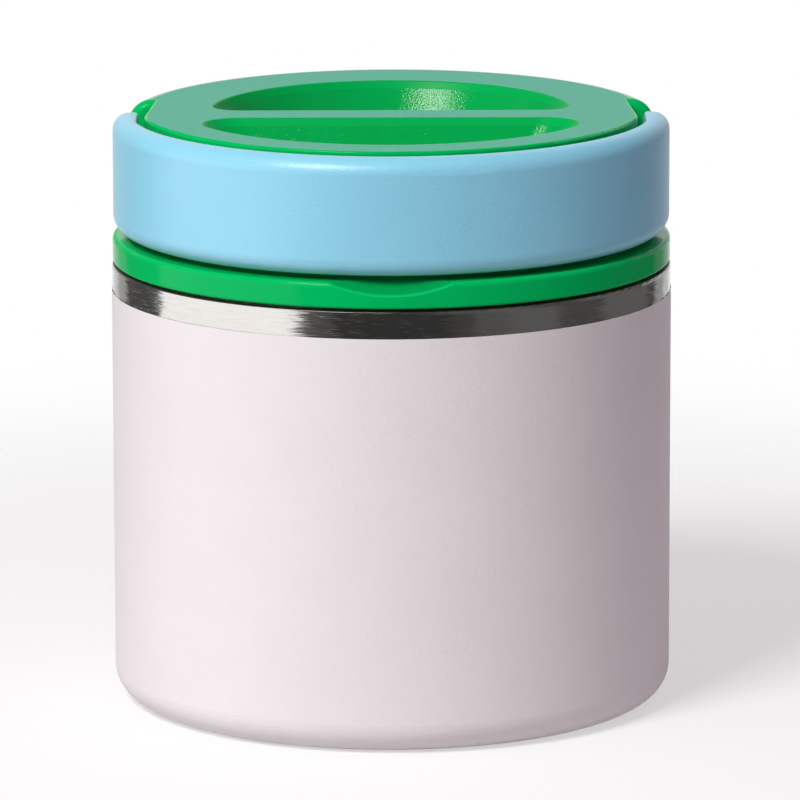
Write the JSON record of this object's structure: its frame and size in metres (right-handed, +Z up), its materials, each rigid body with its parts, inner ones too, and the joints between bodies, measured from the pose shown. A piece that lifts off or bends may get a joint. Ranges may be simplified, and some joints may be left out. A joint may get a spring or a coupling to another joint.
{
  "type": "insulated food jar",
  "caption": "Wide double-walled vacuum food jar with a screw-in insulated lid, finger pockets in its top and a carry handle that folds flush around the front.",
  "frame": {"origin": "centre of the flat foot ring, on the surface that the jar stands on", "axes": "+Z up along the jar's axis; -Y is the front, where the folded handle lies; +X is the jar's right as seen from the front and runs along the handle's pivots"},
  "size_m": [0.104, 0.104, 0.1102],
  "materials": {
    "blush_coat": "satin powder coat on stainless steel, with a bare brushed band under the lid",
    "bare_steel": "brushed stainless steel",
    "sealing_glass": "melted sealing glass",
    "foil": "bright foil",
    "getter_alloy": "sintered alloy",
    "seal_rubber": "translucent white silicone",
    "green_plastic": "glossy moulded polypropylene, the lid's flat top lightly textured",
    "foam": "rigid insulating foam",
    "blue_plastic": "satin moulded polypropylene",
    "pin_steel": "turned stainless steel"
  },
  "bodies": {
    "jar": {"outer_shell": "blush_coat", "base_plate": "bare_steel", "base_cover": "bare_steel", "port_seal": "sealing_glass", "inner_liner": "bare_steel", "foil_wrap": "foil", "getter": "getter_alloy"},
    "seal": {"seal_ring": "seal_rubber"},
    "lid": {"lid_cap": "green_plastic", "lid_liner": "green_plastic", "lid_foam": "foam"},
    "carry_handle": {"handle": "blue_plastic", "pivot_pin_left": "pin_steel", "pivot_pin_right": "pin_steel"}
  },
  "joints": [
    {"name": "lid_lift", "type": "slide", "parent": "jar", "child": "seal", "axis": [0, 0, 1], "range_m": [0, 0.07]},
    {"name": "lid_turn", "type": "hinge", "parent": "seal", "child": "lid", "pos_m": [0, 0, 0.0844], "axis": [0, 0, 1], "range_deg": [0, 360]},
    {"name": "handle_swing", "type": "hinge", "parent": "lid", "child": "carry_handle", "pos_m": [0, -0.0008, 0.0989], "axis": [-1, 0, 0], "range_deg": [0, 90]}
  ]
}
